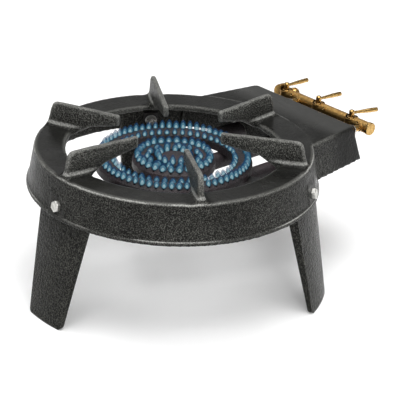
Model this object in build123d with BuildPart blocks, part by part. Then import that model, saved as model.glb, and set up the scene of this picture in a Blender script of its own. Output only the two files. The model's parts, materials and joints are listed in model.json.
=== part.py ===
from build123d import *
import math
import os

os.makedirs("parts", exist_ok=True)

# The origin is on the ground under the middle of the ring, +Z is up and the hood lies along +X.
# All lengths are in millimetres and all angles in degrees.

# Ring casting: a skirted ring that leans outwards towards its rim
ring_top_z = 190.0
ring_bottom_z = 138.0
ring_top_r = 180.0
ring_bottom_r = 189.2
opening_r = 139.8
opening_z = 187.4
lip_depth = 8.2
wall = 4.0
bead_height = 6.0
bead_proud = 1.4
crease_round = 3.5
lip_round = 4.0
lip_foot_round = 1.8

# Hood: the flat box that reaches from the ring to the gas manifold
hood_start_x = 110.0
hood_end_top_x = 236.0
hood_end_bottom_x = 255.0
hood_end_half_width = 98.0
hood_side_flare = 0.15
hood_side_draft = 5.0
hood_corner_round = 6.0
hood_edge_round = 3.5

# Prongs: six ribs that carry the pan, three long and three short
prong_count = 6
prong_outer_r = 169.0
prong_top_z = 222.3
prong_toe_r = 178.0
prong_tip_z = 216.6
prong_tip_depth = 14.6
long_prong_r = 62.0
short_prong_r = 76.0
prong_belly_r = 116.0
prong_belly_z = 194.5
prong_belly_round = 14.0
prong_top_width = 6.4
prong_root_width = 8.8
prong_corner_round = 9.0
prong_ridge_round = 2.0
prong_tip_round = 2.0
flank_share = 0.9
prong_flare = 5.5
prong_sweep = 11.0
prong_sweep_drop = 1.5

# Legs: plates bent into shallow channels, hung inside the skirt
leg_azimuths = {"left": 180.0, "rear": 60.0, "right": 300.0}
leg_top_z = 183.0
leg_plate = 4.0
leg_gap = 0.3
leg_foot_half_width = 32.0
leg_skirt_half_width = 44.0
leg_foot_flange = 7.5
leg_skirt_flange = 14.5
leg_bend_round = 3.5
leg_foot_round = 6.0

# Leg bolts, M8 hexagon
bolt_z = 154.2
bolt_d = 8.0
bolt_hole_d = 9.0
bolt_head_across = 13.0
bolt_head_height = 5.3
bolt_nut_height = 6.5
bolt_washer_d = 16.0
bolt_washer_thick = 1.6
bolt_tail = 2.3
bolt_chamfer = 0.9
bolt_pad_half_width = 16.0
bolt_pad_proud = 0.5
bolt_pad_height = 32.0
bolt_pad_rise = -1.0
thread_gap = 0.05

# Burner arms: flat straps that hang from the leg bolts and carry the burners
arm_width = 20.0
arm_thick = 3.0
arm_tab_rise = 8.8
arm_nut_gap = 1.7
arm_low_inner_r = 150.0
arm_high_outer_r = 125.0
arm_bend_r = 3.5
short_arm_r = 84.0
long_arm_r = 13.0

# Burners: hollow castings that stand on the arms
burner_bottom_z = 158.5
burner_top_z = 173.0
burner_wall = 3.0
burner_chamfer = 5.0
outer_burner_r = (78.5, 102.0)
middle_burner_r = (33.0, 54.0)
centre_burner_r = 22.0
port_d = 2.2
port_tilt = 45.0
outer_burner_ports = (48, 64)
middle_burner_ports = (14, 28)
centre_burner_ports = 12
tube_z = 146.5
tube_d = 22.0
tube_bore = 16.0
tube_mouth_x = 252.0
tube_mouth_bore = 19.0
tube_mouth_depth = 14.0
middle_tube_turn_x = 130.0
middle_tube_bend_r = 60.0
middle_riser_azimuth = 40.0

# Burner screws, M5 pan head, driven up through the arms
screw_d = 5.0
screw_hole_d = 5.5
screw_head_d = 9.0
screw_head_height = 2.8
screw_head_round = 1.2
screw_slot_width = 1.2
screw_slot_depth = 1.4
screw_depth = 8.0
screw_boss_d = 9.5
screw_boss_top_gap = 1.5
centre_screw_r = 17.0

# Gas manifold: a cast brass tube along Y with three tap barrels
manifold_x = 265.0
manifold_z = 179.4
manifold_d = 16.0
manifold_bore = 6.6
manifold_right_y = -96.0
tap_pitch = 63.6
tap_rest = {"middle": -2.0, "centre": -6.0, "outer": -17.0}
tap_side = {"middle": 1.0, "centre": 0.0, "outer": -1.0}
seat_d = 19.0
seat_recess_d = 16.5
seat_rim_z = 185.6
seat_recess_z = 183.4
stop_notch_width = 3.2
stop_notch_length = 4.8
stop_notch_azimuth = -63.0
stop_notch_z = 182.0
barrel_d = 15.0
barrel_shoulder_z = 170.0
barrel_bottom_z = 139.0
chamber_d = 11.2
chamber_floor_z = 168.0

# Gland nuts that hold the tap stems
gland_collar_d = 12.6
gland_top_z = 186.2
gland_shank_d = 11.1
gland_bottom_z = 180.0
gland_round = 0.6

# Tap plugs: tapered, with a stem above and a threaded tail below
plug_top_r = 5.3
plug_bottom_r = 4.3
plug_bottom_z = 141.0
plug_gap = 0.06
stem_d = 6.4
head_d = 7.6
head_bottom_z = 186.5
head_top_z = 196.0
head_round = 2.5
gas_way_d = 3.6
gas_way_z = 174.0
tail_d = 5.0
tail_bottom_z = 131.5
tap_spring_d = 11.0
tap_spring_thick = 1.6
tap_spring_gap = 0.1
tap_nut_across = 8.0
tap_nut_height = 4.0

# Tap levers
lever_z = 191.6
lever_reach = 40.0
lever_root_d = 4.2
lever_tip_d = 6.2
lever_tip_length = 13.0
lever_end_round = 0.6

# Jets
jet_hex_across = 10.0
jet_hex_thick = 3.0
jet_shank_d = 5.0
jet_shank_length = 2.4
jet_nose_d = 6.0
jet_tip_d = 3.0
jet_tip_x = 251.0
jet_bore = 1.0
jet_feed_d = 2.0

# Manifold fittings
end_cap_d = 17.6
end_cap_thick = 4.6
end_cap_round = 1.0
end_shank_d = 11.9
end_bore_d = 12.0
end_bore_depth = 6.4
blind_end_r = 11.8
blind_end_y = 71.8
blind_end_width = 13.0
blind_end_round = 2.5
inlet_z = 176.0
inlet_boss_d = 15.0
inlet_boss_x = 275.5
inlet_thread_d = 10.0
inlet_bore_d = 8.0
inlet_thread_depth = 5.0
elbow_x = 280.5
elbow_ball_r = 8.6
elbow_stub_d = 13.0
elbow_bottom_z = 164.0
nozzle_across = 12.0
nozzle_hex_thick = 5.0
nozzle_thread_d = 9.0
nozzle_thread_length = 5.0
nozzle_root_d = 9.6
nozzle_barb_d = 11.0
nozzle_barb_length = 6.0
nozzle_barbs = 4
nozzle_tip_length = 6.0
nozzle_bore = 6.0
pilot_screw_d = 5.0
pilot_screw_offset = 17.4
pilot_screw_tilt = 35.0
pilot_screw_length = 4.2
pilot_screw_proud = 1.2
pilot_socket_across = 2.0

# Studs that carry the manifold on the hood's end wall
stud_ys = (-86.0, 34.0)
stud_d = 6.0
stud_hole_d = 6.6
stud_spacer_d = 9.0
stud_boss_d = 16.0
stud_boss_face_x = 243.5
stud_boss_inner_x = 233.0
stud_socket_d = 11.0
stud_socket_x = 255.0
stud_end_x = 260.6
stud_washer_d = 12.0
stud_washer_thick = 1.5
stud_nut_across = 10.0
stud_nut_height = 5.0
stud_tail = 2.0
notch_gap = 0.3

# Sizes that follow from the ones above
ring_height = ring_top_z - ring_bottom_z
skirt_slope = (ring_bottom_r - ring_top_r) / ring_height
skirt_lean = math.degrees(math.atan(skirt_slope))
lip_z = opening_z - lip_depth
prong_height = prong_top_z - ring_top_z
annulus_slope = (ring_top_z - opening_z) / (ring_top_r - opening_r)
tap_ys = {name: side * tap_pitch for name, side in tap_side.items()}
thread_play = 2 * thread_gap


def skirt_r(z):
    return ring_top_r + (ring_top_z - z) * skirt_slope


def slant(thickness):
    return thickness / math.cos(math.radians(skirt_lean))


def skirt_inner_r(z):
    return skirt_r(z) - slant(wall)


def leg_r(z):
    return skirt_inner_r(z) - slant(leg_gap)


def taper(z, foot, skirt):
    return foot + (skirt - foot) * z / ring_bottom_z


def hood_end_x(z):
    return hood_end_bottom_x + (hood_end_top_x - hood_end_bottom_x) * (z - ring_bottom_z) / ring_height


def hood_half_width(x, z):
    flare = (hood_end_bottom_x - x) * hood_side_flare
    return hood_end_half_width + flare - hood_side_draft * (z - ring_bottom_z) / ring_height


def hood_corners(z, inset):
    far_x = hood_end_x(z) - inset
    near = hood_half_width(hood_start_x, z) - inset
    far = hood_half_width(far_x, z) - inset
    return [(hood_start_x, near), (far_x, far), (far_x, -far), (hood_start_x, -near)]


def save(piece, name):
    piece.label = name
    export_step(piece, "parts/" + name + ".step")


def save_group(solids, name):
    save(Compound(children=solids), name)


def polar(radius, azimuth, z):
    turn = math.radians(azimuth)
    return (radius * math.cos(turn), radius * math.sin(turn), z)


def prong_half_width(z):
    return prong_top_width / 2 + (prong_root_width - prong_top_width) / 2 * (prong_top_z - z) / prong_height


# The plane of a leg bolt's pad, facing outwards, with its x axis level
def pad_plane(azimuth):
    turn = math.radians(azimuth)
    lean = math.radians(skirt_lean)
    outwards = (math.cos(turn) * math.cos(lean), math.sin(turn) * math.cos(lean), math.sin(lean))
    level = (-math.sin(turn), math.cos(turn), 0)
    origin = polar(skirt_r(bolt_z) + slant(bolt_pad_proud), azimuth, bolt_z)
    return Plane(origin=origin, x_dir=level, z_dir=outwards)


# Outside of the hood, before it is hollowed
with BuildPart() as hood_block:
    for z in (ring_bottom_z, ring_top_z):
        with BuildSketch(Plane.XY.offset(z)):
            Polygon(*hood_corners(z, 0), align=None)
            fillet(vertices().group_by(Axis.X)[-1], hood_corner_round)
    loft(ruled=True)
    rim = hood_block.faces().sort_by(Axis.Z)[-1].edges()
    fillet(rim.sort_by(Axis.X)[1:], hood_edge_round)

# Space inside the hood, open to the ground; the ring's own skirt closes it off from the burners
with BuildPart() as hood_space:
    for z in (ring_bottom_z - wall, ring_top_z - wall):
        with BuildSketch(Plane.XY.offset(z)):
            Polygon(*hood_corners(z, wall), align=None)
    loft(ruled=True)
    with BuildSketch(Plane.XZ):
        Polygon((0, 0), (skirt_r(0), 0), (skirt_r(ring_top_z), ring_top_z), (0, ring_top_z), align=None)
    revolve(axis=Axis.Z, mode=Mode.SUBTRACT)


# One prong along +X, with the flare that blends its root into the ring
def make_prong(tip_r):
    with BuildPart() as piece:
        with BuildSketch(Plane.XZ):
            with BuildLine():
                Polyline((tip_r, prong_tip_z - prong_tip_depth), (tip_r, prong_tip_z),
                         (prong_outer_r, prong_top_z), (prong_toe_r, ring_top_z),
                         (prong_toe_r, ring_top_z - wall / 2), (opening_r + wall, lip_z + wall / 2),
                         (opening_r, lip_z), (prong_belly_r, prong_belly_z), close=True)
            make_face()
            fillet(vertices().sort_by_distance((prong_belly_r, prong_belly_z))[0], prong_belly_round)
        side = extrude(amount=ring_top_z, both=True)
        with BuildSketch(Plane.YZ):
            with BuildLine():
                Polyline((prong_top_width / 2, prong_top_z), (prong_half_width(0), 0),
                         (-prong_half_width(0), 0), (-prong_top_width / 2, prong_top_z), close=True)
            make_face()
        extrude(amount=prong_toe_r + wall, mode=Mode.INTERSECT)
        across = piece.edges().filter_by(Axis.Y)
        fillet(across.group_by(Axis.Z)[-1], prong_corner_round)
        fillet(piece.edges().filter_by(Axis.Y).group_by(Axis.X)[0], prong_tip_round)
        flanks = piece.faces().filter_by(lambda face: abs(face.normal_at().Y) > flank_share)
        ridge = flanks.edges().filter_by(lambda edge: edge.center().Z > prong_tip_z - prong_tip_round)
        fillet(ridge, prong_ridge_round)
    root_plane = Plane(origin=(opening_r, 0, opening_z), x_dir=(0, 1, 0), z_dir=(1, 0, annulus_slope))
    half = prong_half_width(ring_top_z + prong_flare)
    sweep_outer_r = opening_r + prong_flare
    sweep_inner_r = sweep_outer_r - prong_sweep
    wide = half + prong_sweep
    with BuildPart() as flare:
        with BuildSketch(root_plane):
            with BuildLine():
                Polyline((half + prong_flare, 0), (wide, -prong_sweep_drop), (wide, -lip_depth),
                         (-wide, -lip_depth), (-wide, -prong_sweep_drop), (-half - prong_flare, 0))
                RadiusArc((-half - prong_flare, 0), (-half, prong_flare), -prong_flare)
                Line((-half, prong_flare), (half, prong_flare))
                RadiusArc((half, prong_flare), (half + prong_flare, 0), -prong_flare)
            make_face()
        extrude(amount=prong_toe_r, both=True)
        with BuildSketch(Plane.XY):
            with BuildLine():
                Line((sweep_outer_r, wide), (sweep_outer_r, -wide))
                RadiusArc((sweep_outer_r, -wide), (sweep_inner_r, -half), -prong_sweep)
                Line((sweep_inner_r, -half), (sweep_inner_r, half))
                RadiusArc((sweep_inner_r, half), (sweep_outer_r, wide), -prong_sweep)
            make_face()
            with Locations(((sweep_outer_r + prong_toe_r) / 2, 0)):
                Rectangle(prong_toe_r - sweep_outer_r, 2 * (half + prong_flare))
        extrude(amount=2 * ring_top_z, mode=Mode.INTERSECT)
        add(side, mode=Mode.INTERSECT)
    with BuildPart() as prong:
        add(piece.part)
        add(flare.part)
    return prong.part


prongs = {False: make_prong(short_prong_r), True: make_prong(long_prong_r)}

# The body: ring, hood, prongs and bosses in one casting
with BuildPart() as stove_body:
    with BuildSketch(Plane.XZ):
        with BuildLine():
            bead_bottom = (ring_bottom_r + bead_proud / 2, ring_bottom_z)
            bead_middle = (ring_bottom_r + bead_proud, ring_bottom_z + bead_height / 2)
            bead_top = (skirt_r(ring_bottom_z + bead_height), ring_bottom_z + bead_height)
            Polyline((0, ring_top_z), (0, ring_bottom_z), bead_bottom)
            ThreePointArc(bead_bottom, bead_middle, bead_top)
            Polyline(bead_top, (ring_top_r, ring_top_z), (0, ring_top_z))
        make_face()
    revolve(axis=Axis.Z)
    for azimuth in leg_azimuths.values():
        with BuildSketch(pad_plane(azimuth)):
            with Locations((0, bolt_pad_rise)):
                Rectangle(2 * bolt_pad_half_width, bolt_pad_height)
        extrude(amount=-wall)
    add(hood_block.part)
    with BuildSketch(Plane.XZ):
        with BuildLine():
            Polyline((0, opening_z), (opening_r, opening_z), (ring_top_r, ring_top_z),
                     (ring_top_r, ring_top_z + wall), (0, ring_top_z + wall), close=True)
        make_face()
    revolve(axis=Axis.Z, mode=Mode.SUBTRACT)
    with BuildSketch(Plane.XZ):
        with BuildLine():
            Polyline((0, ring_bottom_z - wall), (skirt_inner_r(ring_bottom_z - wall), ring_bottom_z - wall),
                     (skirt_inner_r(ring_top_z - wall), ring_top_z - wall),
                     (opening_r + wall, opening_z - wall), (opening_r + wall, lip_z),
                     (opening_r, lip_z), (opening_r, ring_top_z), (0, ring_top_z), close=True)
        make_face()
    revolve(axis=Axis.Z, mode=Mode.SUBTRACT)
    add(hood_space.part, mode=Mode.SUBTRACT)
    circles = stove_body.edges().filter_by(GeomType.CIRCLE)
    crease = circles.filter_by(lambda edge: abs(edge.radius - ring_top_r) < thread_gap)
    fillet(crease.sort_by(SortBy.LENGTH)[-1], crease_round)
    circles = stove_body.edges().filter_by(GeomType.CIRCLE)
    lip = circles.filter_by(lambda edge: abs(edge.radius - opening_r) < thread_gap)
    fillet(lip.group_by(Axis.Z)[0], lip_foot_round)
    circles = stove_body.edges().filter_by(GeomType.CIRCLE)
    lip = circles.filter_by(lambda edge: abs(edge.radius - opening_r) < thread_gap)
    fillet(lip.group_by(Axis.Z)[-1], lip_round)
    for index in range(prong_count):
        add(prongs[index % 2 == 1].rotate(Axis.Z, index * 360 / prong_count))
    with BuildSketch(Plane.YZ.offset(stud_boss_inner_x)):
        with Locations(*[(y, manifold_z) for y in stud_ys]):
            Circle(stud_boss_d / 2)
    extrude(amount=stud_boss_face_x - stud_boss_inner_x)
    with BuildSketch(Plane.YZ.offset(hood_end_top_x - 2 * wall)):
        with Locations(*[(y, manifold_z) for y in stud_ys]):
            Circle(stud_hole_d / 2)
    extrude(amount=hood_end_bottom_x, mode=Mode.SUBTRACT)
    with BuildSketch(Plane.YZ.offset(opening_r + wall)):
        for y in tap_ys.values():
            with Locations((y, tube_z)):
                Circle(tube_d / 2 + notch_gap)
            with Locations((y, tube_z - ring_height / 2)):
                Rectangle(tube_d + 2 * notch_gap, ring_height)
    extrude(amount=hood_end_bottom_x, mode=Mode.SUBTRACT)
    for azimuth in leg_azimuths.values():
        with BuildSketch(pad_plane(azimuth)):
            Circle(bolt_hole_d / 2)
        extrude(amount=2 * wall, both=True, mode=Mode.SUBTRACT)
save(stove_body.part, "stove_body")


# One leg along +X: a conical plate with side flanges that shrink towards the foot
def leg_outline(inset):
    top = taper(leg_top_z, leg_foot_half_width, leg_skirt_half_width) - inset
    foot = leg_foot_half_width - inset
    return Polygon((foot, 0), (top, leg_top_z), (-top, leg_top_z), (-foot, 0), align=None)


def make_leg():
    with BuildPart() as pocket:
        with BuildSketch(Plane.XZ):
            with BuildLine():
                Polyline((leg_r(-wall) - slant(leg_plate), -wall),
                         (leg_r(ring_top_z) - slant(leg_plate), ring_top_z),
                         (leg_skirt_half_width, ring_top_z), (leg_skirt_half_width, -wall), close=True)
            make_face()
        revolve(axis=Axis.Z)
        with BuildSketch(Plane.YZ):
            top = taper(ring_top_z, leg_foot_half_width, leg_skirt_half_width) - leg_plate
            foot = taper(-wall, leg_foot_half_width, leg_skirt_half_width) - leg_plate
            Polygon((foot, -wall), (top, ring_top_z), (-top, ring_top_z), (-foot, -wall), align=None)
        extrude(amount=ring_bottom_r + ring_height, mode=Mode.INTERSECT)
    with BuildPart() as piece:
        with BuildSketch(Plane.XZ):
            with BuildLine():
                top_flange = taper(leg_top_z, leg_foot_flange, leg_skirt_flange)
                Polyline((leg_r(0), 0), (leg_r(leg_top_z), leg_top_z),
                         (leg_r(leg_top_z) - top_flange, leg_top_z),
                         (leg_r(0) - leg_foot_flange, 0), close=True)
            make_face()
        revolve(axis=Axis.Z)
        with BuildSketch(Plane.YZ):
            leg_outline(0)
            corners = vertices().group_by(Axis.Y)[0]
            fillet(corners, leg_foot_round)
        extrude(amount=ring_bottom_r + ring_height, mode=Mode.INTERSECT)
        outer = piece.faces().filter_by(GeomType.CONE).sort_by(SortBy.AREA)[-1]
        fillet(outer.edges().filter_by(lambda edge: edge.length > ring_bottom_z), leg_bend_round)
        add(pocket.part, mode=Mode.SUBTRACT)
        with BuildSketch(pad_plane(0)):
            Circle(bolt_hole_d / 2)
        extrude(amount=ring_height, both=True, mode=Mode.SUBTRACT)
    return piece.part


leg = make_leg()
for side, azimuth in leg_azimuths.items():
    save(leg.rotate(Axis.Z, azimuth), side + "_leg")

# Depths along a leg bolt, measured inwards from its pad
leg_depth = bolt_pad_proud + wall + leg_gap + leg_plate
tab_depth = leg_depth + leg_gap
washer_depth = tab_depth + arm_thick
nut_depth = washer_depth + bolt_washer_thick
bolt_length = nut_depth + bolt_nut_height + bolt_tail


def hexagon(across):
    return RegularPolygon(across / 2, 6, major_radius=False, rotation=180 / 6)


def make_bolt(plane):
    with BuildPart() as piece:
        with BuildSketch(plane):
            hexagon(bolt_head_across)
        extrude(amount=bolt_head_height)
        with BuildSketch(plane):
            Circle(bolt_d / 2)
        extrude(amount=-bolt_length)
        crown = Axis(plane.origin, plane.z_dir)
        chamfer(piece.faces().sort_by(crown)[-1].edges(), bolt_chamfer)
        chamfer(piece.faces().sort_by(crown)[0].edges(), bolt_chamfer)
    return piece.part


def make_ring(plane, outer_d, inner_d, thick):
    with BuildPart() as piece:
        with BuildSketch(plane):
            Circle(outer_d / 2)
            Circle(inner_d / 2, mode=Mode.SUBTRACT)
        extrude(amount=thick)
    return piece.part


def make_nut(plane, across, bore, thick):
    with BuildPart() as piece:
        with BuildSketch(plane):
            hexagon(across)
            Circle(bore / 2, mode=Mode.SUBTRACT)
        extrude(amount=thick)
    return piece.part


pads = [pad_plane(azimuth) for azimuth in leg_azimuths.values()]
save_group([make_bolt(pad) for pad in pads], "leg_bolts")
save_group([make_ring(pad.offset(-nut_depth), bolt_washer_d, bolt_d + thread_play, bolt_washer_thick)
            for pad in pads], "leg_washers")
save_group([make_nut(pad.offset(-nut_depth - bolt_nut_height), bolt_head_across, bolt_d + thread_play,
                     bolt_nut_height) for pad in pads], "leg_nuts")


# The straps run just under the lowest corner of the nuts
nut_lean = math.radians(skirt_lean)
nut_drop = (nut_depth + bolt_nut_height) * math.sin(nut_lean)
nut_corner_r = bolt_head_across / math.sqrt(3)
arm_low_z = bolt_z - nut_drop - nut_corner_r * math.cos(nut_lean) - arm_nut_gap


# One burner arm along +X: a strap bent down from the leg bolt, in under the ring and up to the burners
def make_arm(inner_r, screw_radii):
    pad = pad_plane(0)
    face = pad.origin - pad.z_dir * (tab_depth + arm_thick / 2)
    mid_low_z = arm_low_z - arm_thick / 2
    mid_high_z = burner_bottom_z - arm_thick / 2
    tab_top_z = bolt_z + arm_tab_rise
    rise = tab_top_z - face.Z
    fall = mid_low_z - face.Z
    with BuildPart() as piece:
        with BuildLine():
            path = FilletPolyline((face.X - rise * skirt_slope, 0, tab_top_z),
                                  (face.X - fall * skirt_slope, 0, mid_low_z),
                                  (arm_low_inner_r, 0, mid_low_z), (arm_high_outer_r, 0, mid_high_z),
                                  (inner_r, 0, mid_high_z), radius=arm_bend_r)
        with BuildSketch(Plane(origin=path @ 0, x_dir=(0, 1, 0), z_dir=path % 0)):
            Rectangle(arm_width, arm_thick)
        sweep()
        with BuildSketch(pad):
            Circle(bolt_hole_d / 2)
        extrude(amount=-nut_depth, mode=Mode.SUBTRACT)
        with BuildSketch(Plane.XY.offset(arm_low_z)):
            with Locations(*[(radius, 0) for radius in screw_radii]):
                Circle(screw_hole_d / 2)
        extrude(amount=burner_top_z - arm_low_z, mode=Mode.SUBTRACT)
    return piece.part


outer_screw_r = sum(outer_burner_r) / 2
middle_screw_r = sum(middle_burner_r) / 2
short_arm = make_arm(short_arm_r, [outer_screw_r])
long_arm = make_arm(long_arm_r, [outer_screw_r, middle_screw_r, centre_screw_r])
for side, azimuth in leg_azimuths.items():
    arm = long_arm if side == "left" else short_arm
    save(arm.rotate(Axis.Z, azimuth), side + "_burner_arm")


# One burner screw, driven up along +Z
def make_screw(radius, azimuth):
    head_z = burner_bottom_z - arm_thick - screw_head_height
    with BuildPart() as piece:
        with BuildSketch(Plane.XY.offset(head_z)):
            with Locations(polar(radius, azimuth, 0)):
                Circle(screw_head_d / 2)
        extrude(amount=screw_head_height)
        fillet(piece.edges().sort_by(Axis.Z)[0], screw_head_round)
        with BuildSketch(Plane.XY.offset(head_z)):
            with Locations(polar(radius, azimuth, 0)):
                Rectangle(screw_head_d, screw_slot_width)
        extrude(amount=screw_slot_depth, mode=Mode.SUBTRACT)
        with BuildSketch(Plane.XY.offset(burner_bottom_z - arm_thick)):
            with Locations(polar(radius, azimuth, 0)):
                Circle(screw_d / 2)
        extrude(amount=arm_thick + screw_depth)
    return piece.part


left_azimuth = leg_azimuths["left"]
screws = [make_screw(outer_screw_r, azimuth) for azimuth in leg_azimuths.values()]
screws.append(make_screw(middle_screw_r, left_azimuth))
screws.append(make_screw(centre_screw_r, left_azimuth))
save_group(screws, "burner_screws")


# Section of a burner ring, drawn in the XZ plane and drawn in by a margin
def burner_section(inner_r, outer_r, margin):
    cut = burner_chamfer + margin * (math.sqrt(2) - 2)
    low = burner_bottom_z + margin
    high = burner_top_z - margin
    inner = inner_r + margin
    outer = outer_r - margin
    if inner_r == 0:
        return [(0, low), (outer, low), (outer, high - cut), (outer - cut, high), (0, high)]
    return [(inner, low), (outer, low), (outer, high - cut), (outer - cut, high),
            (inner + cut, high), (inner, high - cut)]


def revolve_section(points):
    with BuildPart() as piece:
        with BuildSketch(Plane.XZ):
            Polygon(*points, align=None)
        revolve(axis=Axis.Z)
    return piece.part


# A mixing tube and its riser, solid, to any diameter
def mixing_tube(route, diameter, top_z):
    end = route @ 1
    with BuildPart() as piece:
        with BuildLine():
            add(route)
        with BuildSketch(Plane(origin=route @ 0, z_dir=route % 0)):
            Circle(diameter / 2)
        sweep()
        with Locations(end):
            Sphere(diameter / 2)
        with BuildSketch(Plane(origin=end)):
            Circle(diameter / 2)
        extrude(amount=top_z - tube_z)
    return piece.part


def make_burner(route, radii, ports, screw_places):
    inner_r, outer_r = radii
    shell = revolve_section(burner_section(inner_r, outer_r, 0))
    chamber = revolve_section(burner_section(inner_r, outer_r, burner_wall))
    port_shift = burner_chamfer / 2
    port_length = 2 * burner_wall
    with BuildPart() as piece:
        add(shell)
        add(mixing_tube(route, tube_d, burner_bottom_z + burner_wall))
        add(chamber, mode=Mode.SUBTRACT)
        add(mixing_tube(route, tube_bore, burner_bottom_z + 2 * burner_wall), mode=Mode.SUBTRACT)
        with BuildSketch(Plane(origin=route @ 0, z_dir=route % 0)):
            Circle(tube_mouth_bore / 2)
        mouth_taper = math.degrees(math.atan((tube_mouth_bore - tube_bore) / 2 / tube_mouth_depth))
        extrude(amount=tube_mouth_depth, taper=mouth_taper, mode=Mode.SUBTRACT)
        with BuildSketch(Plane.XY.offset(burner_bottom_z)):
            with Locations(*screw_places):
                Circle(screw_boss_d / 2)
        extrude(amount=burner_top_z - burner_bottom_z - screw_boss_top_gap)
        with BuildSketch(Plane.XY.offset(burner_bottom_z)):
            with Locations(*screw_places):
                Circle(screw_d / 2 + thread_gap)
        extrude(amount=screw_depth + thread_play, mode=Mode.SUBTRACT)
        with Locations((0, 0, burner_top_z - port_shift)):
            with PolarLocations(outer_r - port_shift, ports[1], start_angle=180 / ports[1]):
                Cylinder(port_d / 2, port_length, rotation=(0, port_tilt, 0), mode=Mode.SUBTRACT)
        if inner_r > 0:
            with Locations((0, 0, burner_top_z - port_shift)):
                with PolarLocations(inner_r + port_shift, ports[0], start_angle=180 / ports[0]):
                    Cylinder(port_d / 2, port_length, rotation=(0, -port_tilt, 0), mode=Mode.SUBTRACT)
    return piece.part


outer_riser_x = math.sqrt(outer_screw_r ** 2 - tap_pitch ** 2)
middle_riser = polar(middle_screw_r, middle_riser_azimuth, tube_z)
outer_route = Line((tube_mouth_x, tap_ys["outer"], tube_z), (outer_riser_x, tap_ys["outer"], tube_z))
centre_route = Line((tube_mouth_x, tap_ys["centre"], tube_z), (0, 0, tube_z))
middle_route = FilletPolyline((tube_mouth_x, tap_ys["middle"], tube_z),
                              (middle_tube_turn_x, tap_ys["middle"], tube_z),
                              middle_riser, radius=middle_tube_bend_r)
outer_screws = [polar(outer_screw_r, azimuth, 0) for azimuth in leg_azimuths.values()]
save(make_burner(outer_route, outer_burner_r, outer_burner_ports, outer_screws), "outer_burner")
save(make_burner(middle_route, middle_burner_r, middle_burner_ports,
                 [polar(middle_screw_r, left_azimuth, 0)]), "middle_burner")
save(make_burner(centre_route, (0, centre_burner_r), (0, centre_burner_ports),
                 [polar(centre_screw_r, left_azimuth, 0)]), "centre_burner")

# Manifold casting
jet_face_x = manifold_x - barrel_d / 2
plug_slope = (plug_top_r - plug_bottom_r) / (chamber_floor_z - plug_bottom_z)
chamber_gap = plug_gap / math.cos(math.atan(plug_slope))
bore_bottom_r = plug_bottom_r - plug_slope * (plug_bottom_z - barrel_bottom_z) + chamber_gap


def pilot_plane(y):
    tilt = math.radians(pilot_screw_tilt)
    normal = (-math.cos(tilt), 0, math.sin(tilt))
    radius = manifold_d / 2
    origin = (manifold_x + normal[0] * radius, y - pilot_screw_offset, manifold_z + normal[2] * radius)
    return Plane(origin=origin, x_dir=(0, 1, 0), z_dir=normal)


def tap_plane(name, z):
    return Plane(origin=(manifold_x, tap_ys[name], z))


# Round lug that closes the manifold's left end
with BuildPart() as blind_end:
    with BuildSketch(Plane.YZ.offset(manifold_x - blind_end_width / 2)):
        with Locations((blind_end_y, manifold_z)):
            Circle(blind_end_r)
    extrude(amount=blind_end_width)
    fillet(blind_end.edges().filter_by(GeomType.CIRCLE), blind_end_round)

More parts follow.
